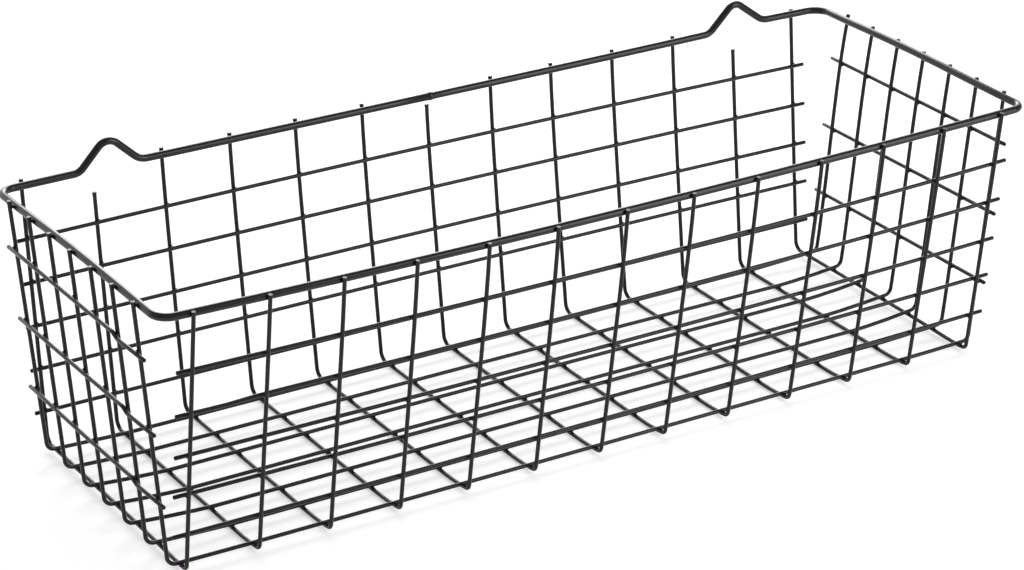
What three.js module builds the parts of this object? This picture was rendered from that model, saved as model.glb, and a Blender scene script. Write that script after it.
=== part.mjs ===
// A free-standing wire storage basket: a welded steel mesh whose four sides are folded up into an open
// box, closed round the top by one thicker rim wire that rises into two hanger humps at the rear.
// Millimetres, +Z up, the front towards -Y. Heights are measured from the surface it stands on.
import * as THREE from 'three';

// Wire sizes, and the gap left between the skins of two wires that are welded together
const wireDiameter = 2.0;
const rimDiameter = 3.8;
const weldGap = 0.25;

// The bottom mesh, between the centres of its outermost wires: cross wires run front to rear, and long
// wires run left to right on top of them
const meshLength = 480;
const meshDepth = 139.8;
const crossCount = 13;
const longCount = 7;

// Each fold line lies this far outside the outermost wire of the bottom
const frontFoldMargin = 5.1;
const rearFoldMargin = 13.2;
const leftFoldMargin = 7.2;
const rightFoldMargin = 4.6;

// How far each wall leans out for each millimetre of height
const frontLean = 0.122;
const rearLean = 0.104;
const leftLean = 0.086;
const rightLean = 0.105;

// The springy long walls stand out in the middle: the front rim bows, and both meshes belly
const frontRimBow = 4;
const frontBelly = 2;
const rearBelly = 5.5;

// Bend radii at the centre of the wire
const frontBendRadius = 5;
const rearBendRadius = 8;
const leftBendRadius = 6;
const rightBendRadius = 5.5;
const rimCornerRadius = 8.5;

// Height of the rim's centre, and how much lower it is over the rearmost long wire than the foremost
const rimHeight = 145;
const rimRearDrop = 1.4;

// How far the cut tips of the upright wires stand above the rim's centre. The long wires are all cut to one
// length, so their tips keep to one height.
const frontTipRise = 1.4;
const rearTipRise = 2.6;
const leftTipRise = 3.6;
const rightTipRise = 2.2;

// Two rear legs stop short below the hanger humps and one below the rim's butt weld
const hangerLegDrop = 14.4;
const weldLegDrop = 6.2;

// Hanger humps, placed from the cross wires under them
const hangerCrossIndex = 1;
const leftHangerOffset = 7.5;
const rightHangerOffset = -0.5;
const hangerWidth = 37;
const hangerHeight = 15.5;
const hangerRadius = 7;

// Rails: lowest height, drop of the top one below the rim, and how far the cut ends pass the last wire
const frontRailCount = 5;
const frontRailLowest = 22;
const frontRailTopDrop = 30;
const frontRailLeftOverhang = 6.4;
const frontRailRightOverhang = 9.5;
const rearRailCount = 5;
const rearRailLowest = 20.7;
const rearRailTopDrop = 30.8;
const rearRailLeftOverhang = 6.4;
const rearRailRightOverhang = 6.9;
const leftRailCount = 3;
const leftRailLowest = 43.4;
const leftRailTopDrop = 22.4;
const leftRailRearOverhang = 2.4;
const leftRailFrontOverhang = 10.2;
const rightRailCount = 3;
const rightRailLowest = 39.1;
const rightRailTopDrop = 25.7;
const rightRailRearOverhang = 11.1;
const rightRailFrontOverhang = 4.5;

// Each left rail steps down just past the last long wire but one
const leftRailStep = 2.4;
const leftRailStepRun = 5;
const leftRailStepRadius = 4;

// Facets
const wireSides = 8;
const rimSides = 12;
const bendStep = THREE.MathUtils.degToRad(18);
const bowSpans = 12;

const layerOffset = wireDiameter + weldGap;
const rimSeat = (wireDiameter + rimDiameter) / 2 + weldGap;
const crossLevel = wireDiameter / 2;
const longLevel = crossLevel + layerOffset;
const crossReach = meshLength / 2;
const longReach = meshDepth / 2;
const crossX = (index) => (meshLength * index) / (crossCount - 1) - crossReach;
const longY = (index) => longReach - (meshDepth * index) / (longCount - 1);

// Rails are counted down from the rim and evenly spaced between their top and lowest heights
function spacedHeights(count, lowest, topDrop) {
  const pitch = (rimHeight - topDrop - lowest) / (count - 1);
  return Array.from({ length: count }, (_, index) => rimHeight - topDrop - index * pitch);
}

const frontRailHeights = spacedHeights(frontRailCount, frontRailLowest, frontRailTopDrop);
const rearRailHeights = spacedHeights(rearRailCount, rearRailLowest, rearRailTopDrop);
const leftRailHeights = spacedHeights(leftRailCount, leftRailLowest, leftRailTopDrop);
const rightRailHeights = spacedHeights(rightRailCount, rightRailLowest, rightRailTopDrop);

// Centre lines of the upright wires in each wall
const leftX = (z) => -crossReach - leftFoldMargin - leftLean * (z - crossLevel);
const rightX = (z) => crossReach + rightFoldMargin + rightLean * (z - crossLevel);
const rimZ = (y) => rimHeight - (rimRearDrop * y) / meshDepth;
const rimLeftX = leftX(rimHeight) + rimSeat;
const rimRightX = rightX(rimHeight) - rimSeat;
const rimMiddleX = (rimLeftX + rimRightX) / 2;
const rimHalfLength = (rimRightX - rimLeftX) / 2;

// Share of the bow at a place along a long wall, and share of the belly at a height
const bowShare = (x) => 1 - ((x - rimMiddleX) / rimHalfLength) ** 2;
const heightShare = (z) => (z - crossLevel) / (rimHeight - crossLevel);
const bellyShare = (z) => heightShare(z) * (1 - heightShare(z) ** 4);

function frontY(x, z) {
  const bulge = bowShare(x) * (frontRimBow * heightShare(z) + frontBelly * bellyShare(z));
  return -longReach - frontFoldMargin - frontLean * (z - crossLevel) - bulge;
}

function rearY(x, z) {
  return longReach + rearFoldMargin + rearLean * (z - crossLevel) + bowShare(x) * rearBelly * bellyShare(z);
}

// A bent wire's centre line: corner points, each rounded by its own radius. Stations are spaced by the
// bends, so straight runs stay single spans.
class WirePath extends THREE.Curve {
  constructor(corners) {
    super();
    this.stations = [];
    corners.forEach((corner, index) => {
      const before = corners[index - 1];
      const after = corners[index + 1];
      if (before && after && corner.radius > 0) this.addBend(before.at, corner.at, after.at, corner.radius);
      else this.stations.push(corner.at.clone());
    });
  }

  addBend(from, corner, to, radius) {
    const arrive = corner.clone().sub(from).normalize();
    const leave = to.clone().sub(corner).normalize();
    const turn = arrive.angleTo(leave);
    const tangentLength = radius * Math.tan(turn / 2);
    const start = corner.clone().addScaledVector(arrive, -tangentLength);
    const inward = leave.clone().addScaledVector(arrive, -leave.dot(arrive)).normalize();
    const spans = Math.ceil(turn / bendStep);
    for (let k = 0; k <= spans; k += 1) {
      const angle = (turn * k) / spans;
      const point = start.clone().addScaledVector(arrive, radius * Math.sin(angle));
      this.stations.push(point.addScaledVector(inward, radius * (1 - Math.cos(angle))));
    }
  }

  get spans() {
    return this.stations.length - 1;
  }

  getPoint(t, target = new THREE.Vector3()) {
    return target.copy(this.stations[Math.round(t * this.spans)]);
  }

  getPointAt(u, target) {
    return this.getPoint(u, target);
  }

  getTangent(t, target = new THREE.Vector3()) {
    const index = Math.round(t * this.spans);
    const here = this.stations[index];
    target.set(0, 0, 0);
    if (index > 0) target.add(here.clone().sub(this.stations[index - 1]).normalize());
    if (index < this.spans) target.add(this.stations[index + 1].clone().sub(here).normalize());
    return target.normalize();
  }

  getTangentAt(u, target) {
    return this.getTangent(u, target);
  }
}

// A ring's section stays level all the way round, so that it meets itself where the ring closes
class RingPath extends WirePath {
  computeFrenetFrames(segments) {
    const up = new THREE.Vector3(0, 0, 1);
    const tangents = Array.from({ length: segments + 1 }, (_, index) => this.getTangentAt(index / segments));
    const binormals = tangents.map((tangent) => up.clone().cross(tangent).normalize());
    const normals = tangents.map((tangent, index) => binormals[index].clone().cross(tangent));
    return { tangents, normals, binormals };
  }
}

const corner = (x, y, z, radius = 0) => ({ at: new THREE.Vector3(x, y, z), radius });

// A round section with flats that face up, down and sideways, as wide across them as the wire
function wireSection(diameter, sides) {
  const reach = diameter / 2 / Math.cos(Math.PI / sides);
  const points = [];
  for (let k = 0; k < sides; k += 1) {
    const angle = ((k + 0.5) * 2 * Math.PI) / sides;
    points.push(new THREE.Vector2(reach * Math.cos(angle), reach * Math.sin(angle)));
  }
  return new THREE.Shape(points);
}

function sweep(path, diameter, sides) {
  return new THREE.ExtrudeGeometry(wireSection(diameter, sides), { steps: path.spans, extrudePath: path });
}

const sweepWire = (corners) => sweep(new WirePath(corners), wireDiameter, wireSides);

// A ring is swept once round and keeps only its skin, because its two ends meet
function sweepRing(corners) {
  const tube = sweep(new RingPath(corners), rimDiameter, rimSides);
  const skin = tube.groups.find((group) => group.materialIndex === 1);
  const places = tube.getAttribute('position').array.slice(3 * skin.start, 3 * (skin.start + skin.count));
  const ring = new THREE.BufferGeometry();
  ring.setAttribute('position', new THREE.BufferAttribute(places, 3));
  ring.computeVertexNormals();
  return ring;
}

const blackCoat = { color: 0x2a2a29, roughness: 0.42, metalness: 0.2 };
const basket = new THREE.Group();

function addPiece(name, geometry) {
  const mesh = new THREE.Mesh(geometry, new THREE.MeshStandardMaterial(blackCoat));
  mesh.name = name;
  basket.add(mesh);
}

// Rim: one thick wire, butt welded at the middle of the rear, inside the tips of all the uprights
function rimCorner(sideX, insetX, wallY, insetY) {
  const nominalX = sideX(rimHeight) + insetX;
  const z = rimZ(wallY(nominalX, rimHeight));
  return corner(sideX(z) + insetX, wallY(nominalX, z) + insetY, z, rimCornerRadius);
}

const rearLeftCorner = rimCorner(leftX, rimSeat, rearY, -rimSeat);
const frontLeftCorner = rimCorner(leftX, rimSeat, frontY, rimSeat);
const frontRightCorner = rimCorner(rightX, -rimSeat, frontY, rimSeat);
const rearRightCorner = rimCorner(rightX, -rimSeat, rearY, -rimSeat);

function onRearRim(x, rise, radius) {
  const along = THREE.MathUtils.inverseLerp(rearLeftCorner.at.x, rearRightCorner.at.x, x);
  const at = rearLeftCorner.at.clone().lerp(rearRightCorner.at, along);
  return corner(at.x, at.y, at.z + rise, radius);
}

function hangerHump(x) {
  return [
    onRearRim(x + hangerWidth / 2, 0, hangerRadius),
    onRearRim(x, hangerHeight, hangerRadius),
    onRearRim(x - hangerWidth / 2, 0, hangerRadius),
  ];
}

function bowedFrontRim() {
  const points = [];
  for (let k = 1; k < bowSpans; k += 1) {
    const x = THREE.MathUtils.lerp(rimLeftX, rimRightX, k / bowSpans);
    const z = rimZ(frontY(x, rimHeight));
    points.push(corner(x, frontY(x, z) + rimSeat, z));
  }
  return points;
}

addPiece('rim_wire', sweepRing([
  onRearRim(rimMiddleX, 0, 0),
  ...hangerHump(crossX(hangerCrossIndex) + leftHangerOffset),
  rearLeftCorner,
  frontLeftCorner,
  ...bowedFrontRim(),
  frontRightCorner,
  rearRightCorner,
  ...hangerHump(crossX(crossCount - 1 - hangerCrossIndex) + rightHangerOffset),
  onRearRim(rimMiddleX, 0, 0),
]));

// Cross wires: rear leg, bottom run and front leg of one U, with the rear leg cut short in three places
function rearLegRise(index) {
  if (index === hangerCrossIndex || index === crossCount - 1 - hangerCrossIndex) return -hangerLegDrop;
  if (index === (crossCount - 1) / 2) return -weldLegDrop;
  return rearTipRise;
}

// A leg is set out at its tip and wherever the rim or a rail is welded to it
function uprightHeights(rimLevel, tipRise, railHeights) {
  const tip = rimLevel + tipRise;
  return [tip, ...[rimLevel, ...railHeights].filter((height) => height < tip)];
}

for (let index = 0; index < crossCount; index += 1) {
  const x = crossX(index);
  const rearRimLevel = rimZ(rearY(x, rimHeight));
  const frontRimLevel = rimZ(frontY(x, rimHeight));
  const rearHeights = uprightHeights(rearRimLevel, rearLegRise(index), rearRailHeights);
  const frontHeights = uprightHeights(frontRimLevel, frontTipRise, frontRailHeights).reverse();
  addPiece(`cross_wire_${String(index + 1).padStart(2, '0')}`, sweepWire([
    ...rearHeights.map((z) => corner(x, rearY(x, z), z)),
    corner(x, rearY(x, crossLevel), crossLevel, rearBendRadius),
    corner(x, frontY(x, crossLevel), crossLevel, frontBendRadius),
    ...frontHeights.map((z) => corner(x, frontY(x, z), z)),
  ]));
}

// Long wires: right leg, bottom run on top of the cross wires, and left leg, counted from the rear
const leftTip = rimHeight + leftTipRise;
const rightTip = rimHeight + rightTipRise;
for (let index = 0; index < longCount; index += 1) {
  const y = longY(index);
  addPiece(`long_wire_${index + 1}`, sweepWire([
    corner(rightX(rightTip), y, rightTip),
    corner(rightX(longLevel), y, longLevel, rightBendRadius),
    corner(leftX(longLevel), y, longLevel, leftBendRadius),
    corner(leftX(leftTip), y, leftTip),
  ]));
}

// Front and rear rails lie inside the legs of the cross wires and follow the bow of their wall
function longWallRail(leftOverhang, rightOverhang, wallY, z) {
  const start = -crossReach - leftOverhang;
  const end = crossReach + rightOverhang;
  const points = [];
  for (let k = 0; k <= bowSpans; k += 1) {
    const x = THREE.MathUtils.lerp(start, end, k / bowSpans);
    points.push(corner(x, wallY(x), z));
  }
  return sweepWire(points);
}

frontRailHeights.forEach((z, index) => {
  const wallY = (x) => frontY(x, z) + layerOffset;
  addPiece(`front_rail_${index + 1}`, longWallRail(frontRailLeftOverhang, frontRailRightOverhang, wallY, z));
});

rearRailHeights.forEach((z, index) => {
  const wallY = (x) => rearY(x, z) - layerOffset;
  addPiece(`rear_rail_${index + 1}`, longWallRail(rearRailLeftOverhang, rearRailRightOverhang, wallY, z));
});

// Left and right rails lie outside the legs of the long wires
leftRailHeights.forEach((z, index) => {
  const lowZ = z - leftRailStep;
  const highX = leftX(z) - layerOffset;
  const lowX = leftX(lowZ) - layerOffset;
  const stepStart = longY(longCount - 2) - wireDiameter / 2;
  addPiece(`left_rail_${index + 1}`, sweepWire([
    corner(highX, longReach + leftRailRearOverhang, z),
    corner(highX, stepStart, z, leftRailStepRadius),
    corner(lowX, stepStart - leftRailStepRun, lowZ, leftRailStepRadius),
    corner(lowX, -longReach - leftRailFrontOverhang, lowZ),
  ]));
});

rightRailHeights.forEach((z, index) => {
  const x = rightX(z) + layerOffset;
  addPiece(`right_rail_${index + 1}`, sweepWire([
    corner(x, longReach + rightRailRearOverhang, z),
    corner(x, -longReach - rightRailFrontOverhang, z),
  ]));
});

// The origin is the middle of the footprint on the surface the basket stands on
const extent = new THREE.Box3().setFromObject(basket);
const middle = extent.getCenter(new THREE.Vector3());
basket.position.set(-middle.x, -middle.y, -extent.min.z);

export default basket;
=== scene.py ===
import math

import bpy
from mathutils import Matrix, Vector


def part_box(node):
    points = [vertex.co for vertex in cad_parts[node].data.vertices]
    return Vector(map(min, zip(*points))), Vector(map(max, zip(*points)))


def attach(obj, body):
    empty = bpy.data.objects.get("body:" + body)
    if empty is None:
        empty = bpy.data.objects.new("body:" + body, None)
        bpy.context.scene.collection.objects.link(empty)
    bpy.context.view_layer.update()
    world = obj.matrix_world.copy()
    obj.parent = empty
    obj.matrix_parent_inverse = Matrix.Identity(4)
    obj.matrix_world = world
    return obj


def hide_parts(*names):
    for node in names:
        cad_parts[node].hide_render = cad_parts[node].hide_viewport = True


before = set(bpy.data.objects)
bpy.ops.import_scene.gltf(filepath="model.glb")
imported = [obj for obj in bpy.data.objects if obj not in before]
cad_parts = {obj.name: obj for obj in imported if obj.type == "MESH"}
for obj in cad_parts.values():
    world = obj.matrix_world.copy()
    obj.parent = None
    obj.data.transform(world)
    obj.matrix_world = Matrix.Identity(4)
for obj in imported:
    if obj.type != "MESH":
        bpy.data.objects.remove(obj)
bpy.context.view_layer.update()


# Camera: a long lens in front of the basket's left corner, looking down into it, with the very slight roll
# that the picture has.
view_right = Vector((0.849701, -0.527251, 0.004040))
view_up = Vector((0.215127, 0.353669, 0.910296))
lens = bpy.data.cameras.new("product_lens")
lens.sensor_fit = "HORIZONTAL"
lens.sensor_width = 36.0
lens.lens = 123.401
lens.clip_end = 100.0
camera = bpy.data.objects.new("product_camera", lens)
camera.location = (-0.89624, -1.42656, 0.83412)
camera.rotation_euler = Matrix((view_right, view_up, view_right.cross(view_up))).transposed().to_euler()
bpy.context.scene.collection.objects.link(camera)
bpy.context.scene.camera = camera


# Black coat: the finished basket is dipped in black powder and baked, so one satin skin runs over wires,
# welds and cut ends. It is slightly pebbled, uneven in gloss, and thin where a cut edge sticks out, where it
# is painted paler grey: partly worn coat, partly a painted highlight of the flat cut top.
mm = 0.001
thick_film = (0.0090, 0.0088, 0.0086, 1.0)
thin_film = (0.0140, 0.0137, 0.0133, 1.0)
pale_dust = (0.05, 0.049, 0.047, 1.0)
# The paler grey painted on cut ends: worn coat, and a painted highlight of their flat tops.
tip_wear_and_glint_colour = (0.13, 0.13, 0.128, 1.0)
dust_cover = 0.35
pebble_depth = 0.04 * mm
pebble_strength = 0.35


def add_node(tree, kind, **settings):
    """A node with its settings. A name that the node itself doesn't have is a socket's, with _ for a space."""
    node = tree.nodes.new(kind)
    for name, value in settings.items():
        if hasattr(node, name):
            setattr(node, name, value)
        else:
            node.inputs[name.replace("_", " ")].default_value = value
    return node


def new_group(name, kind, inputs, outputs):
    tree = bpy.data.node_groups.new(name, kind)
    for label, socket, value in inputs:
        made = tree.interface.new_socket(label, in_out="INPUT", socket_type=socket)
        if value is not None:
            made.default_value = value
    for label, socket in outputs:
        tree.interface.new_socket(label, in_out="OUTPUT", socket_type=socket)
    return tree, tree.nodes.new("NodeGroupInput"), tree.nodes.new("NodeGroupOutput")


def connect(tree, *links):
    for source, target in links:
        tree.links.new(source, target)


# Pebbling: the soft orange-peel waviness of baked powder, with a finer grain on top of it.
pebbling, given, result = new_group(
    "powder_pebbling", "ShaderNodeTree",
    [("Pebble Scale", "NodeSocketFloat", 900.0), ("Grain Scale", "NodeSocketFloat", 3200.0),
     ("Grain Share", "NodeSocketFloat", 0.3)],
    [("Height", "NodeSocketFloat")])
place = add_node(pebbling, "ShaderNodeTexCoord")
pebble = add_node(pebbling, "ShaderNodeTexNoise", Detail=2.0, Roughness=0.5)
grain = add_node(pebbling, "ShaderNodeTexNoise", Detail=1.0, Roughness=0.6)
blend = add_node(pebbling, "ShaderNodeMix", data_type="FLOAT")
connect(pebbling,
        (place.outputs["Object"], pebble.inputs["Vector"]),
        (place.outputs["Object"], grain.inputs["Vector"]),
        (given.outputs["Pebble Scale"], pebble.inputs["Scale"]),
        (given.outputs["Grain Scale"], grain.inputs["Scale"]),
        (given.outputs["Grain Share"], blend.inputs["Factor"]),
        (pebble.outputs["Fac"], blend.inputs["A"]),
        (grain.outputs["Fac"], blend.inputs["B"]),
        (blend.outputs["Result"], result.inputs["Height"]))

# Patches: slow changes of film thickness along a wire, which read as duller and glossier stretches, and the
# fine pale dust that settles on what faces up.
patches, given, result = new_group(
    "coat_patches", "ShaderNodeTree",
    [("Patch Scale", "NodeSocketFloat", 60.0), ("Dust Scale", "NodeSocketFloat", 1400.0)],
    [("Dullness", "NodeSocketFloat"), ("Dust", "NodeSocketFloat")])
place = add_node(patches, "ShaderNodeTexCoord")
patch = add_node(patches, "ShaderNodeTexNoise", Detail=3.0, Roughness=0.6)
specks = add_node(patches, "ShaderNodeTexNoise", Detail=2.0, Roughness=0.7)
dust_cut = add_node(patches, "ShaderNodeMapRange", clamp=True, From_Min=0.52, From_Max=0.75)
facing = add_node(patches, "ShaderNodeNewGeometry")
split = add_node(patches, "ShaderNodeSeparateXYZ")
upward = add_node(patches, "ShaderNodeMapRange", clamp=True, From_Min=0.2)
dust = add_node(patches, "ShaderNodeMath", operation="MULTIPLY")
connect(patches,
        (place.outputs["Object"], patch.inputs["Vector"]),
        (place.outputs["Object"], specks.inputs["Vector"]),
        (given.outputs["Patch Scale"], patch.inputs["Scale"]),
        (given.outputs["Dust Scale"], specks.inputs["Scale"]),
        (specks.outputs["Fac"], dust_cut.inputs["Value"]),
        (facing.outputs["Normal"], split.inputs["Vector"]),
        (split.outputs["Z"], upward.inputs["Value"]),
        (dust_cut.outputs["Result"], dust.inputs[0]),
        (upward.outputs["Result"], dust.inputs[1]),
        (patch.outputs["Fac"], result.inputs["Dullness"]),
        (dust.outputs["Value"], result.inputs["Dust"]))


def black_coat(name, shine, glossiest, dullest, pebble_scale):
    """The coat as it turned out on one gauge of wire; glossiest and dullest are its range of roughness."""
    coat = bpy.data.materials.new(name)
    coat.use_nodes = True
    tree = coat.node_tree
    skin = tree.nodes["Principled BSDF"]
    skin.inputs["Specular IOR Level"].default_value = shine
    surface = add_node(tree, "ShaderNodeGroup", node_tree=pebbling, Pebble_Scale=pebble_scale)
    film = add_node(tree, "ShaderNodeGroup", node_tree=patches)
    gloss = add_node(tree, "ShaderNodeMapRange", From_Min=0.3, From_Max=0.7, To_Min=glossiest, To_Max=dullest)
    tone = add_node(tree, "ShaderNodeMix", data_type="RGBA", A=thick_film, B=thin_film)
    dusted = add_node(tree, "ShaderNodeMix", data_type="RGBA", B=pale_dust)
    dust_share = add_node(tree, "ShaderNodeMath", operation="MULTIPLY")
    dust_share.inputs[1].default_value = dust_cover
    # Cut ends are painted paler grey: worn coat, and a painted highlight of their flat tops.
    cut = add_node(tree, "ShaderNodeAttribute", attribute_name="cut_end")
    tip_wear_and_glint = add_node(tree, "ShaderNodeMix", data_type="RGBA", B=tip_wear_and_glint_colour)
    bump = add_node(tree, "ShaderNodeBump", Strength=pebble_strength, Distance=pebble_depth)
    connect(tree,
            (film.outputs["Dullness"], gloss.inputs["Value"]),
            (gloss.outputs["Result"], skin.inputs["Roughness"]),
            (film.outputs["Dullness"], tone.inputs["Factor"]),
            (film.outputs["Dust"], dust_share.inputs[0]),
            (dust_share.outputs["Value"], dusted.inputs["Factor"]),
            (tone.outputs["Result"], dusted.inputs["A"]),
            (dusted.outputs["Result"], tip_wear_and_glint.inputs["A"]),
            (cut.outputs["Fac"], tip_wear_and_glint.inputs["Factor"]),
            (tip_wear_and_glint.outputs["Result"], skin.inputs["Base Color"]),
            (surface.outputs["Height"], bump.inputs["Height"]),
            (bump.outputs["Normal"], skin.inputs["Normal"]))
    return coat


wire_coat = black_coat("black_coat_on_wire", shine=0.26, glossiest=0.2, dullest=0.29, pebble_scale=900.0)


# Cross wires: thirteen drawn steel wires, each bent into a U that runs down the rear wall, under the bottom
# and up the front wall. They are the outermost layer, and the lowest, so the basket stands on them.
bent_wire, given, result = new_group(
    "bent_wire", "GeometryNodeTree",
    [("Path", "NodeSocketGeometry", None), ("Wire Radius", "NodeSocketFloat", 1.0 * mm),
     ("Sides", "NodeSocketInt", 20), ("Bend Steps", "NodeSocketInt", 12),
     ("Weld Reach", "NodeSocketFloat", 1.6 * mm), ("Weld Height", "NodeSocketFloat", 0.8 * mm),
     ("Coat", "NodeSocketMaterial", None)],
    [("Wire", "NodeSocketGeometry")])
is_weld = add_node(bent_wire, "GeometryNodeInputNamedAttribute", data_type="FLOAT", Name="is_weld")
sort_welds = add_node(bent_wire, "GeometryNodeSeparateGeometry", domain="POINT")
centre_line = add_node(bent_wire, "GeometryNodeMeshToCurve")
bend_radius = add_node(bent_wire, "GeometryNodeInputNamedAttribute", data_type="FLOAT", Name="bend_radius")
bends = add_node(bent_wire, "GeometryNodeFilletCurve", mode="POLY", Limit_Radius=True)
girth = add_node(bent_wire, "GeometryNodeInputNamedAttribute", data_type="FLOAT", Name="girth")
section = add_node(bent_wire, "GeometryNodeCurvePrimitiveCircle", mode="RADIUS")
drawn = add_node(bent_wire, "GeometryNodeCurveToMesh", Fill_Caps=True)
weld_up = add_node(bent_wire, "GeometryNodeInputNamedAttribute", data_type="FLOAT_VECTOR", Name="weld_up")
weld_along = add_node(bent_wire, "GeometryNodeInputNamedAttribute", data_type="FLOAT_VECTOR", Name="weld_along")
weld_turn = add_node(bent_wire, "FunctionNodeAxesToRotation", primary_axis="Z", secondary_axis="X")
nugget = add_node(bent_wire, "GeometryNodeMeshUVSphere", Segments=10, Rings=5, Radius=1.0)
nugget_size = add_node(bent_wire, "ShaderNodeCombineXYZ")
welds = add_node(bent_wire, "GeometryNodeInstanceOnPoints")
joined = add_node(bent_wire, "GeometryNodeJoinGeometry")
realized = add_node(bent_wire, "GeometryNodeRealizeInstances")
smooth = add_node(bent_wire, "GeometryNodeSetShadeSmooth")
coated = add_node(bent_wire, "GeometryNodeSetMaterial")
connect(bent_wire,
        (given.outputs["Path"], sort_welds.inputs["Geometry"]),
        (is_weld.outputs["Attribute"], sort_welds.inputs["Selection"]),
        (sort_welds.outputs["Inverted"], centre_line.inputs["Mesh"]),
        (centre_line.outputs["Curve"], bends.inputs["Curve"]),
        (given.outputs["Bend Steps"], bends.inputs["Count"]),
        (bend_radius.outputs["Attribute"], bends.inputs["Radius"]),
        (given.outputs["Sides"], section.inputs["Resolution"]),
        (given.outputs["Wire Radius"], section.inputs["Radius"]),
        (bends.outputs["Curve"], drawn.inputs["Curve"]),
        (section.outputs["Curve"], drawn.inputs["Profile Curve"]),
        (girth.outputs["Attribute"], drawn.inputs["Scale"]),
        (weld_up.outputs["Attribute"], weld_turn.inputs["Primary Axis"]),
        (weld_along.outputs["Attribute"], weld_turn.inputs["Secondary Axis"]),
        (given.outputs["Weld Reach"], nugget_size.inputs["X"]),
        (given.outputs["Weld Reach"], nugget_size.inputs["Y"]),
        (given.outputs["Weld Height"], nugget_size.inputs["Z"]),
        (sort_welds.outputs["Selection"], welds.inputs["Points"]),
        (nugget.outputs["Mesh"], welds.inputs["Instance"]),
        (weld_turn.outputs["Rotation"], welds.inputs["Rotation"]),
        (nugget_size.outputs["Vector"], welds.inputs["Scale"]),
        (drawn.outputs["Mesh"], joined.inputs["Geometry"]),
        (welds.outputs["Instances"], joined.inputs["Geometry"]),
        (joined.outputs["Geometry"], realized.inputs["Geometry"]),
        (realized.outputs["Geometry"], smooth.inputs["Geometry"]),
        (smooth.outputs["Geometry"], coated.inputs["Geometry"]),
        (given.outputs["Coat"], coated.inputs["Material"]),
        (coated.outputs["Geometry"], result.inputs["Wire"]))

wire_radius = 1.1 * mm
layer_offset = 2.25 * mm


class Stop:
    """One stop along a wire: its place, the bend there, its girth and how far its cut end is painted paler,
    as worn coat and a painted highlight.
    """

    def __init__(self, x, y, z, bend=0.0, girth=1.0, cut=0.0):
        self.at = Vector((x, y, z))
        self.bend, self.girth, self.cut = bend, girth, cut


# A sheared tip is flat, and the powder gathers in a bead round it: the distance from the tip and the girth,
# both in radii of the wire, and how far it is painted paler, as worn coat and a painted highlight of the flat top
sheared = ((0.0, 0.92, 1.0), (0.1, 1.06, 0.5), (0.3, 1.12, 0.0), (0.9, 1.1, 0.0), (1.6, 1.0, 0.0))


def trimmed(stops, ends):
    """The wire with both its ends shaped."""
    def end(tip, inner):
        inward = (inner.at - tip.at).normalized() * wire_radius
        return [Stop(*(tip.at + inward * along), girth=thick, cut=tip_paleness) for along, thick, tip_paleness in ends]
    return end(stops[0], stops[1]) + stops[1:-1] + end(stops[-1], stops[-2])[::-1]


def make_wire(node, stops, ends, crossings=(), radius=wire_radius, sides=20, coat=wire_coat,
              weld_reach=1.65 * mm, weld_height=0.75 * mm):
    """A coated wire along its stops, with a weld at each crossing. A wire that has no ends is a ring."""
    if ends:
        stops = trimmed(stops, ends)
    count, spare = len(stops), len(crossings)
    edges = [(k, k + 1) for k in range(count - 1)]
    if not ends:
        edges.append((count - 1, 0))
    path = bpy.data.meshes.new(node + "_path")
    path.from_pydata([stop.at for stop in stops] + [at for at, up, along in crossings], edges, [])
    for name, values in (("bend_radius", [stop.bend for stop in stops] + [0.0] * spare),
                         ("girth", [stop.girth for stop in stops] + [1.0] * spare),
                         ("cut_end", [stop.cut for stop in stops] + [0.0] * spare),
                         ("is_weld", [0.0] * count + [1.0] * spare)):
        path.attributes.new(name, "FLOAT", "POINT").data.foreach_set("value", values)
    for name, vectors in (("weld_up", [up for at, up, along in crossings]),
                          ("weld_along", [along for at, up, along in crossings])):
        flat = [0.0, 0.0, 1.0] * count + [share for vector in vectors for share in vector]
        path.attributes.new(name, "FLOAT_VECTOR", "POINT").data.foreach_set("vector", flat)
    wire = bpy.data.objects.new("coated_" + node, path)
    bpy.context.scene.collection.objects.link(wire)
    former = wire.modifiers.new("bent wire", "NODES")
    former.node_group = bent_wire
    sizes = {"Wire Radius": radius, "Sides": sides, "Weld Reach": weld_reach, "Weld Height": weld_height,
             "Coat": coat}
    for socket in bent_wire.interface.items_tree:
        if socket.in_out == "INPUT" and socket.name in sizes:
            former[socket.identifier] = sizes[socket.name]
    bpy.context.view_layer.update()
    formed = bpy.data.meshes.new_from_object(wire.evaluated_get(bpy.context.evaluated_depsgraph_get()))
    wire.modifiers.remove(former)
    wire.data = formed
    bpy.data.meshes.remove(path)
    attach(wire, "root")
    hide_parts(node)


# The bottom mesh, counted from its middle cross and long wires, and the rim
low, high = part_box("cross_wire_07")
middle_x = (low.x + high.x) / 2
low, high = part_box("long_wire_4")
middle_y = (low.y + high.y) / 2
cross_count = 13
long_count = 7
cross_reach = 240 * mm
long_reach = 69.9 * mm
cross_x = [middle_x + cross_reach * (2 * k / (cross_count - 1) - 1) for k in range(cross_count)]
long_y = [middle_y + long_reach * (1 - 2 * k / (long_count - 1)) for k in range(long_count)]
cross_level = wire_radius
long_level = cross_level + layer_offset
rim_height = 145 * mm
rim_radius = 2.06 * mm
rim_seat = rim_radius + wire_radius + 0.1 * mm

# The walls: how far each stands out from the bottom mesh at its foot, and its slope outwards
left_foot, left_lean = 7.2 * mm, 0.086
right_foot, right_lean = 4.6 * mm, 0.105
front_foot, front_lean = 5.1 * mm, 0.122
rear_foot, rear_lean = 13.2 * mm, 0.104


def height_share(z):
    return (z - cross_level) / (rim_height - cross_level)


def forward(y):
    return (middle_y + long_reach - y) / (2 * long_reach)


def rear_share(y):
    return (1 - forward(y)) ** 4


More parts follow.
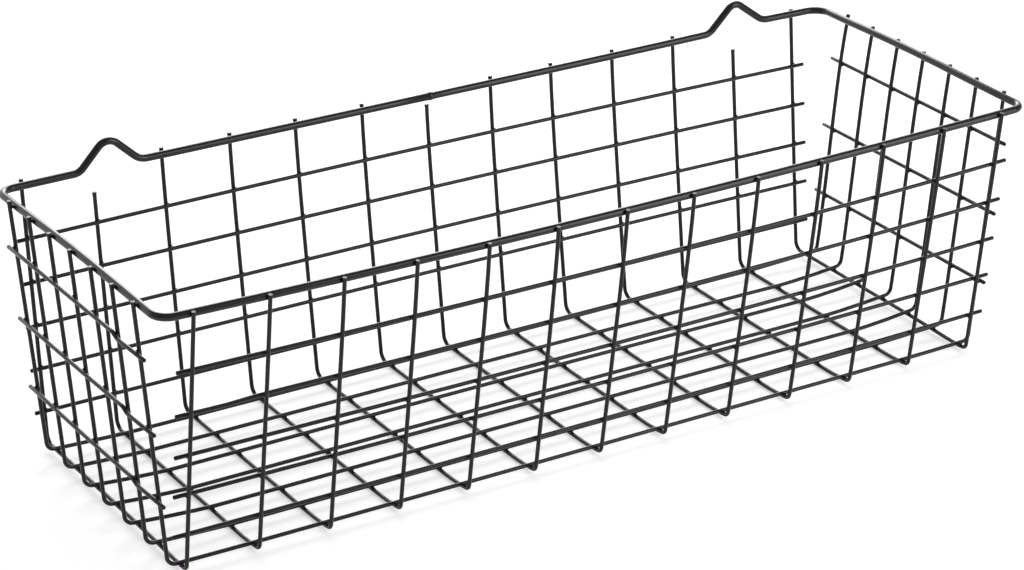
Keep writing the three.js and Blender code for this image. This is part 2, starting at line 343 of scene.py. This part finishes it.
def left_x(y, z):
    """The left wall flares a little less towards the rear, and its last foot there stands further in."""
    less_flare, foot_in = 0.003, 1.2 * mm
    lean = left_lean - less_flare * (1 - forward(y) ** 3)
    foot = left_foot - foot_in * rear_share(y) * (1 - height_share(z))
    return middle_x - cross_reach - foot - lean * (z - cross_level)


def right_x(y, z):
    """The right wall is dished a little inward below the rim, most towards the rear, with its front foot out."""
    rear_dish, front_dish, foot_out = 1.05 * mm, 0.1 * mm, 0.6 * mm
    dish = rear_dish + (front_dish - rear_dish) * forward(y)
    hollow = dish * math.sin(math.pi * max(0.0, height_share(z)) ** 2.5)
    foot = right_foot + foot_out * forward(y) * (1 - height_share(z))
    return middle_x + cross_reach + foot - hollow + right_lean * (z - cross_level)


rim_left = left_x(middle_y - long_reach, rim_height) + rim_seat
rim_right = right_x(middle_y, rim_height) - rim_seat


def rim_share(x):
    return (x - rim_left) / (rim_right - rim_left)


def bow_share(x):
    return 4 * rim_share(x) * (1 - rim_share(x))


def front_y(x, z):
    """The front wall bows out with the rim, and bellies out a little more below it."""
    bow, belly = 2.8 * mm, 2.0 * mm
    share = height_share(z)
    bulge = bow * share + belly * share * (1 - share ** 4)
    return middle_y - long_reach - front_foot - front_lean * (z - cross_level) - bow_share(x) * bulge


def rear_y(x, z):
    """The rear wall bellies out too, and the rim holds it in a little at the top."""
    belly, held_in = 5.7 * mm, 0.38
    share = height_share(z)
    bulge = belly * share * (1 - held_in * share ** 4)
    return middle_y + long_reach + rear_foot + rear_lean * (z - cross_level) + bow_share(x) * bulge


# The rim is not quite level: it falls to the rear, and its long sides sag
def front_rim_z(x):
    rise, sag = 0.9 + 0.5 * rim_share(x), 1.7 * bow_share(x)
    return rim_height + (rise - sag) * mm


def rear_rim_z(x):
    share = rim_share(x)
    rise = -0.9 + 0.8 * share - 0.5 * (1 - share) ** 6
    sag = (1.5 + 1.6 * share) * bow_share(x)
    return rim_height + (rise - sag) * mm


def past(distance, start, length):
    """How far a distance is past the start of a stretch, in lengths of the stretch."""
    return max(0.0, (distance - start) / length)


def bottom_lift(x, y):
    """How far the bottom is drawn up by the folds beside it, at its two ends and along its front edge."""
    end_lift = (2.3 if x < middle_x else 2.0) * mm
    edge_lift = 1.5 * mm
    at_end = end_lift * past(abs(x - middle_x), start=195 * mm, length=50 * mm) ** 1.3
    at_edge = edge_lift * past(middle_y - y, start=55 * mm, length=20 * mm) ** 1.5
    return at_end * max(0.0, 1 - forward(y) ** 8) + at_edge


# The legs: some lean a little, here how far to the right at the tip in millimetres, and three of the rear ones
# stop short of the rim, here by how many millimetres
front_drift = {2: -0.3, 3: -0.3, 4: 0.1, 5: -0.3, 6: 0.4, 7: 0.6, 8: 0.3, 9: 0.4, 10: 0.7, 11: 0.7, 12: -0.3}
rear_drift = {4: -0.7, 7: 0.6, 8: -0.6, 9: -0.5, 11: 0.5, 12: 0.8}
short_rear_legs = {1: 13.2, 6: 5.4, 11: 13.4}
front_bend = 3.5 * mm
rear_bend = 5.5 * mm
leg_steps = 9


def leg_x(k, z, drift):
    return cross_x[k] + drift.get(k, 0.0) * mm * height_share(z)


def leg(k, tip, bend, wall_y, drift):
    start = cross_level + 1.5 * bend  # clear of the bend
    heights = [start + (tip - start) * step / leg_steps for step in range(leg_steps + 1)]
    places = [leg_x(k, z, drift) for z in heights]
    return [Stop(x, wall_y(x, z), z) for x, z in zip(places, heights)]


front_edge_y = [middle_y - step * mm for step in (58, 62, 66, 70)]
for k, x in enumerate(cross_x):
    front_tip = front_rim_z(x) + 2.0 * mm
    rear_tip = rear_rim_z(x) + (2.2 + 0.5 * bow_share(x)) * mm
    if k in short_rear_legs:
        rear_tip = rear_rim_z(x) - short_rear_legs[k] * mm
    bottom = [(rear_y(x, cross_level), rear_bend)]
    bottom += [(y, 0.0) for y in long_y[1:-1] + front_edge_y]
    bottom += [(front_y(x, cross_level), front_bend)]
    stops = leg(k, rear_tip, rear_bend, rear_y, rear_drift)[::-1]
    stops += [Stop(x, y, cross_level + bottom_lift(x, y), bend) for y, bend in bottom]
    stops += leg(k, front_tip, front_bend, front_y, front_drift)
    make_wire(f"cross_wire_{k + 1:02d}", stops, sheared)


# Long wires: seven steel wires of one length, laid across the cross wires and spot welded at every crossing,
# then folded up with the bottom so that their ends become the uprights of the left and right walls.
left_bend = 5 * mm
right_bend = 4 * mm
left_tip = rim_height + 3.5 * mm
right_tip = rim_height + 3.8 * mm
right_leg_start = long_level + 15 * mm
up = Vector((0, 0, 1))
along_x = Vector((1, 0, 0))
along_y = Vector((0, 1, 0))
end_steps = (0, 15 * mm, 30 * mm)
run_x = [cross_x[0] + step for step in end_steps] + cross_x[1:-1] + [cross_x[-1] - step for step in end_steps[::-1]]

# How far the bottom runs lie to the rear of their places, in millimetres, at the left, the middle and the right
bottom_shift = {0: (0.8, 0.8, 0.8), 1: (0.0, 0.0, -1.5), 2: (-1.6, -0.9, -2.1), 3: (-1.7, -1.0, -1.6),
                4: (-1.9, -1.6, -2.6), 6: (-1.0, -1.3, -1.5)}


def on_run(k, x, level):
    """A place on a bottom run, which bows to its shifts and comes back to its own line near the two folds."""
    left, middle, right = bottom_shift.get(k, (0.0, 0.0, 0.0))
    shifts_at = 180 * mm
    out = (x - middle_x) / shifts_at
    shift = middle + ((left if out < 0 else right) - middle) * out ** 2
    kept = 1 - past(abs(x - middle_x), start=190 * mm, length=57 * mm) ** 2
    y = long_y[k] + shift * kept * mm
    return Vector((x, y, level + bottom_lift(x, y)))


for k, y in enumerate(long_y):
    left_fold, right_fold = left_x(y, long_level), right_x(y, long_level)
    stops = [Stop(left_x(y, left_tip), y, left_tip),
             Stop(left_fold, y, long_level + bottom_lift(left_fold, y), left_bend)]
    stops += [Stop(*on_run(k, x, long_level)) for x in run_x]
    stops.append(Stop(right_fold, y, long_level + bottom_lift(right_fold, y), right_bend))
    for step in range(leg_steps + 1):
        z = right_leg_start + (right_tip - right_leg_start) * step / leg_steps
        stops.append(Stop(right_x(y, z), y, z))
    crossings = [(on_run(k, x, cross_level + layer_offset / 2), up, along_x) for x in cross_x]
    make_wire(f"long_wire_{k + 1}", stops, sheared, crossings, weld_reach=1.25 * mm)


# Front and rear rails: five steel wires on each long wall, spot welded inside its thirteen uprights, with their
# rounded ends left standing past the last ones. The front ones sag a little with the rim and rise at their
# right ends, and the second of them droops at its left end.
rounded = ((0.0, 0.6, 0.0), (0.15, 0.87, 0.0), (0.4, 1.0, 0.0))
rail_steps = 36


def spaced(count, lowest, top_drop):
    top = rim_height - top_drop
    return [top - (top - lowest) * k / (count - 1) for k in range(count)]


def long_wall_rail(node, wall_y, drift, level, left_over, right_over, inward):
    start = cross_x[0] - left_over
    end = cross_x[-1] + right_over

    def touch(x, offset):
        return Vector((x, wall_y(x, level(x)) + inward * offset, level(x)))

    stops = [Stop(*touch(start + (end - start) * k / rail_steps, layer_offset)) for k in range(rail_steps + 1)]
    crossings = [(touch(leg_x(k, level(x), drift), layer_offset / 2), along_y, along_x)
                 for k, x in enumerate(cross_x)]
    make_wire(node, stops, rounded, crossings)


# How far each front rail sits off its place, rises, droops and sags, in millimetres
front_rail_set = (0.0, 0.0, -0.9, 0.0, 0.0)
front_rail_rise = (2.2, 1.8, 1.8, 1.3, 1.3)
front_rail_droop = (0.0, 1.0, 0.0, 0.0, 0.0)
front_rail_sag = 0.65
for k, z in enumerate(spaced(5, lowest=22 * mm, top_drop=30 * mm)):
    def front_level(x):
        sag = front_rail_sag * height_share(z) * bow_share(x)
        rise = front_rail_rise[k] * rim_share(x) ** 5
        droop = front_rail_droop[k] * min(past(cross_x[1], start=x, length=20 * mm), 1.0)
        return z + (front_rail_set[k] + rise - droop - sag) * mm

    long_wall_rail(f"front_rail_{k + 1}", front_y, front_drift, front_level,
                   left_over=7.2 * mm, right_over=9.3 * mm, inward=1)

# The rear rails fall a little to the right: their lift at the left end and their whole fall, in millimetres
rear_rail_lift = 0.55
rear_rail_fall = 1.0
for k, z in enumerate(spaced(5, lowest=20.7 * mm, top_drop=30.8 * mm)):
    def rear_level(x):
        return z + (rear_rail_lift - rear_rail_fall * rim_share(x)) * mm

    long_wall_rail(f"rear_rail_{k + 1}", rear_y, rear_drift, rear_level,
                   left_over=6.4 * mm, right_over=6.9 * mm, inward=-1)


# Left rails: three steel wires across the outside of the left wall, spot welded to its seven uprights, each
# rising to a small step down just in front of the last upright but one.
rear_over, front_over = 4.7 * mm, 10.2 * mm
step_start = long_y[5] + wire_radius
step_end = step_start - 5 * mm
step_bend = 3 * mm
left_rail_run = [(long_y[0] + rear_over, 0.0)] + [(y, 0.0) for y in long_y[1:4]]
left_rail_run += [(step_start, step_bend), (step_end, step_bend), (long_y[6] - front_over, 0.0)]

# How far each left rail sits off its place, falls at the rear, rises to the step, steps down and rises again
# in the 30 mm after it, in millimetres
left_rail_set = (0.05, -0.75, -0.55)
rear_fall, step_rise, step_down, end_rise = 0.7, 0.6, 1.7, 0.9
for k, z in enumerate(spaced(3, lowest=43.4 * mm, top_drop=22.4 * mm)):
    def left_level(y):
        to_step = min(past(long_y[3], start=y, length=long_y[3] - long_y[5]), 1.0)
        before = step_rise * to_step - rear_fall * rear_share(y)
        after = end_rise * (long_y[5] - y) / (30 * mm) - step_down
        return z + (left_rail_set[k] + (before if y > step_start - 1 * mm else after)) * mm

    def beside_left(y, offset):
        return Vector((left_x(y, left_level(y)) - offset, y, left_level(y)))

    stops = [Stop(*beside_left(y, layer_offset), bend) for y, bend in left_rail_run]
    crossings = [(beside_left(y, layer_offset / 2), along_x, along_y) for y in long_y]
    make_wire(f"left_rail_{k + 1}", stops, rounded, crossings)


# Right rails: three plain steel wires across the outside of the right wall, spot welded to its seven uprights,
# with their rounded ends standing further past them at the rear than at the front.
rear_over, front_over = 11.1 * mm, 4.5 * mm
right_rail_run = [long_y[0] + rear_over] + long_y + [long_y[6] - front_over]
for k, z in enumerate(spaced(3, lowest=39.1 * mm, top_drop=25.7 * mm)):
    stops = [Stop(right_x(y, z) + layer_offset, y, z) for y in right_rail_run]
    crossings = [(Vector((right_x(y, z) + layer_offset / 2, y, z)), along_x, along_y) for y in long_y]
    make_wire(f"right_rail_{k + 1}", stops, rounded, crossings)


# Rim: one thicker steel wire bent round the top and welded inside the tips of the uprights, with two humps
# pressed up in its rear side to hang it by, and its ends butt welded together at the middle of the rear.
rim_coat = black_coat("black_coat_on_rim", shine=0.35, glossiest=0.17, dullest=0.26, pebble_scale=700.0)
front_steps = 36
side_steps = 16
rear_steps = 9


def on_front_rim(x, bend=0.0):
    z = front_rim_z(x)
    return Stop(x, front_y(x, z) + rim_seat, z, bend)


def on_rear_rim(x, rise=0.0, bend=0.0, girth=1.0):
    z = rear_rim_z(x)
    return Stop(x, rear_y(x, z) - rim_seat, z + rise, bend, girth)


# The corners: three of them are pulled a little off the square
rear_left = on_rear_rim(rim_left + 1.7 * mm, bend=9.5 * mm)
front_left = on_front_rim(rim_left, bend=8.5 * mm)
front_right = on_front_rim(rim_right + 1.4 * mm, bend=7 * mm)
rear_right = on_rear_rim(rim_right + 2.4 * mm, bend=9.5 * mm)


def short_side(start, end, wall_x, inset, arch):
    """A short side of the rim from its rear corner to its front one, arched up, following the wall between them."""
    corner_share = 0.25
    stops = []
    for k in range(1, side_steps):
        share = k / side_steps
        at = start.at.lerp(end.at, share)
        beside = wall_x(at.y, rim_height) + inset
        to_start = max(0.0, 1 - share / corner_share) ** 2
        to_end = max(0.0, 1 - (1 - share) / corner_share) ** 2
        x = beside + (start.at.x - beside) * to_start + (end.at.x - beside) * to_end
        lopsided = 5.2 - 2.4 * share
        stops.append(Stop(x, at.y, at.z + arch * share * (1 - share) * lopsided))
    return stops


def hump(x, rise, crown_bend, left_half, left_bend, right_half, right_lift):
    """A hump from its right foot over its crown to its left foot; the halves reach from the crown to the feet."""
    right_bend = 11 * mm
    return [on_rear_rim(x + right_half, right_lift, right_bend), on_rear_rim(x, rise, crown_bend),
            on_rear_rim(x - left_half, 0.0, left_bend)]


def rear_run(start, end):
    return [on_rear_rim(start + (end - start) * k / rear_steps) for k in range(1, rear_steps)]


rim_middle = (rim_left + rim_right) / 2
butt_weld = [on_rear_rim(rim_middle - offset * mm, girth=thick)
             for offset, thick in ((-2.0, 1.0), (-1.4, 1.1), (-0.8, 1.15), (0.2, 1.15), (0.8, 1.08), (1.2, 1.0))]
left_hump = hump(cross_x[1] + 7.6 * mm, rise=17.1 * mm, crown_bend=7.5 * mm, left_half=16.3 * mm, left_bend=7 * mm,
                 right_half=18.2 * mm, right_lift=0.2 * mm)
right_hump = hump(cross_x[11] - 1.0 * mm, rise=16.2 * mm, crown_bend=6 * mm, left_half=16.4 * mm, left_bend=9 * mm,
                  right_half=19.5 * mm, right_lift=1.2 * mm)
left_side = short_side(rear_left, front_left, left_x, rim_seat, arch=1.8 * mm)
right_side = short_side(rear_right, front_right, right_x, -rim_seat, arch=2.2 * mm)
front_length = front_right.at.x - front_left.at.x
front_side = [on_front_rim(front_left.at.x + front_length * k / front_steps) for k in range(2, front_steps - 1)]
rim_stops = (butt_weld + rear_run(butt_weld[-1].at.x, left_hump[0].at.x) + left_hump
             + [rear_left] + left_side + [front_left] + front_side + [front_right] + right_side[::-1] + [rear_right]
             + right_hump + rear_run(right_hump[-1].at.x, butt_weld[0].at.x))

rim_touch = wire_radius + 0.12 * mm
rim_welds = []
for k in range(cross_count):
    x = leg_x(k, rim_height, front_drift)
    z = front_rim_z(x)
    rim_welds.append((Vector((x, front_y(x, z) + rim_touch, z)), along_y, along_x))
    if k not in short_rear_legs:
        x = leg_x(k, rim_height, rear_drift)
        z = rear_rim_z(x)
        rim_welds.append((Vector((x, rear_y(x, z) - rim_touch, z)), along_y, along_x))
for y in long_y:
    for side, wall_x, touch in ((left_side, left_x, rim_touch), (right_side, right_x, -rim_touch)):
        z = min(side, key=lambda stop: abs(stop.at.y - y)).at.z
        rim_welds.append((Vector((wall_x(y, z) + touch, y, z)), along_x, along_y))
make_wire("rim_wire", rim_stops, None, rim_welds, radius=rim_radius, sides=28, coat=rim_coat,
          weld_reach=0.8 * mm, weld_height=0.5 * mm)


# Floor: a broad sheet of matt white paper, which keeps the basket's soft shadow. To the camera, and where the
# coat mirrors it, it is lifted to white.
paper_white = (0.82, 0.82, 0.82, 1.0)
paper_lift = 0.45
paper_half = 15
paper = bpy.data.materials.new("white_paper")
paper.use_nodes = True
tree = paper.node_tree
sheet = tree.nodes["Principled BSDF"]
sheet.inputs["Roughness"].default_value = 1.0
sheet.inputs["Specular IOR Level"].default_value = 0.0
sheet.inputs["Base Color"].default_value = paper_white
sheet.inputs["Emission Color"].default_value = (1.0, 1.0, 1.0, 1.0)
rays = add_node(tree, "ShaderNodeLightPath")
mirrored = add_node(tree, "ShaderNodeMath", operation="MAXIMUM")
seen = add_node(tree, "ShaderNodeMath", operation="MAXIMUM")
lift = add_node(tree, "ShaderNodeMath", operation="MULTIPLY")
lift.inputs[1].default_value = paper_lift
connect(tree,
        (rays.outputs["Is Glossy Ray"], mirrored.inputs[0]),
        (rays.outputs["Is Transmission Ray"], mirrored.inputs[1]),
        (mirrored.outputs["Value"], seen.inputs[0]),
        (rays.outputs["Is Camera Ray"], seen.inputs[1]),
        (seen.outputs["Value"], lift.inputs[0]),
        (lift.outputs["Value"], sheet.inputs["Emission Strength"]))
paper_mesh = bpy.data.meshes.new("paper_sheet")
paper_mesh.from_pydata([(-paper_half, -paper_half, 0), (paper_half, -paper_half, 0), (paper_half, paper_half, 0),
                        (-paper_half, paper_half, 0)], [], [(0, 1, 2, 3)])
paper_mesh.materials.append(paper)
floor = bpy.data.objects.new("paper_floor", paper_mesh)
bpy.context.scene.collection.objects.link(floor)


# Light: a white backdrop behind the basket under a dim ceiling, a tall soft box at the front right, and a
# brighter one above the right of the backdrop that draws the white lines along the rim's short sides.
dim_light = 0.35
backdrop_light = 1.35
studio = bpy.data.worlds.new("studio_with_backdrop")
bpy.context.scene.world = studio
studio.use_nodes = True
tree = studio.node_tree
sky = tree.nodes["Background"]
sky.inputs["Color"].default_value = (1.0, 1.0, 1.0, 1.0)
toward = add_node(tree, "ShaderNodeTexCoord")
split = add_node(tree, "ShaderNodeSeparateXYZ")
behind = add_node(tree, "ShaderNodeMapRange", clamp=True, interpolation_type="SMOOTHSTEP", From_Min=0.1, From_Max=0.6)
below_ceiling = add_node(tree, "ShaderNodeMapRange", clamp=True, interpolation_type="SMOOTHSTEP", From_Min=0.75,
                         From_Max=0.5)
backdrop = add_node(tree, "ShaderNodeMath", operation="MULTIPLY")
level = add_node(tree, "ShaderNodeMapRange", To_Min=dim_light, To_Max=backdrop_light)
connect(tree,
        (toward.outputs["Generated"], split.inputs["Vector"]),
        (split.outputs["Y"], behind.inputs["Value"]),
        (split.outputs["Z"], below_ceiling.inputs["Value"]),
        (behind.outputs["Result"], backdrop.inputs[0]),
        (below_ceiling.outputs["Result"], backdrop.inputs[1]),
        (backdrop.outputs["Value"], level.inputs["Value"]),
        (level.outputs["Result"], sky.inputs["Strength"]))
basket_middle = Vector((0, 0, 70 * mm))


def soft_box(name, direction, distance, width, height, watts, tilt=0.0):
    """A soft box that faces the middle of the basket from one direction; sizes are in metres."""
    lamp = bpy.data.lights.new(name, "AREA")
    lamp.shape = "RECTANGLE"
    lamp.size, lamp.size_y, lamp.energy = width, height, watts
    box = bpy.data.objects.new(name, lamp)
    box.location = Vector(direction).normalized() * distance + basket_middle
    facing = Vector(direction).to_track_quat("Z", "Y").to_matrix()
    box.rotation_euler = (facing @ Matrix.Rotation(tilt, 3, "Z")).to_euler()
    bpy.context.scene.collection.objects.link(box)


soft_box("front_right_soft_box", (0.56, -0.74, 0.38), distance=1.4, width=0.6, height=1.2, watts=9)
soft_box("rear_right_soft_box", (0.37, 0.78, 0.45), distance=1.5, width=1.1, height=0.75, watts=15,
         tilt=math.radians(40))

bpy.context.scene.view_settings.view_transform = "Standard"
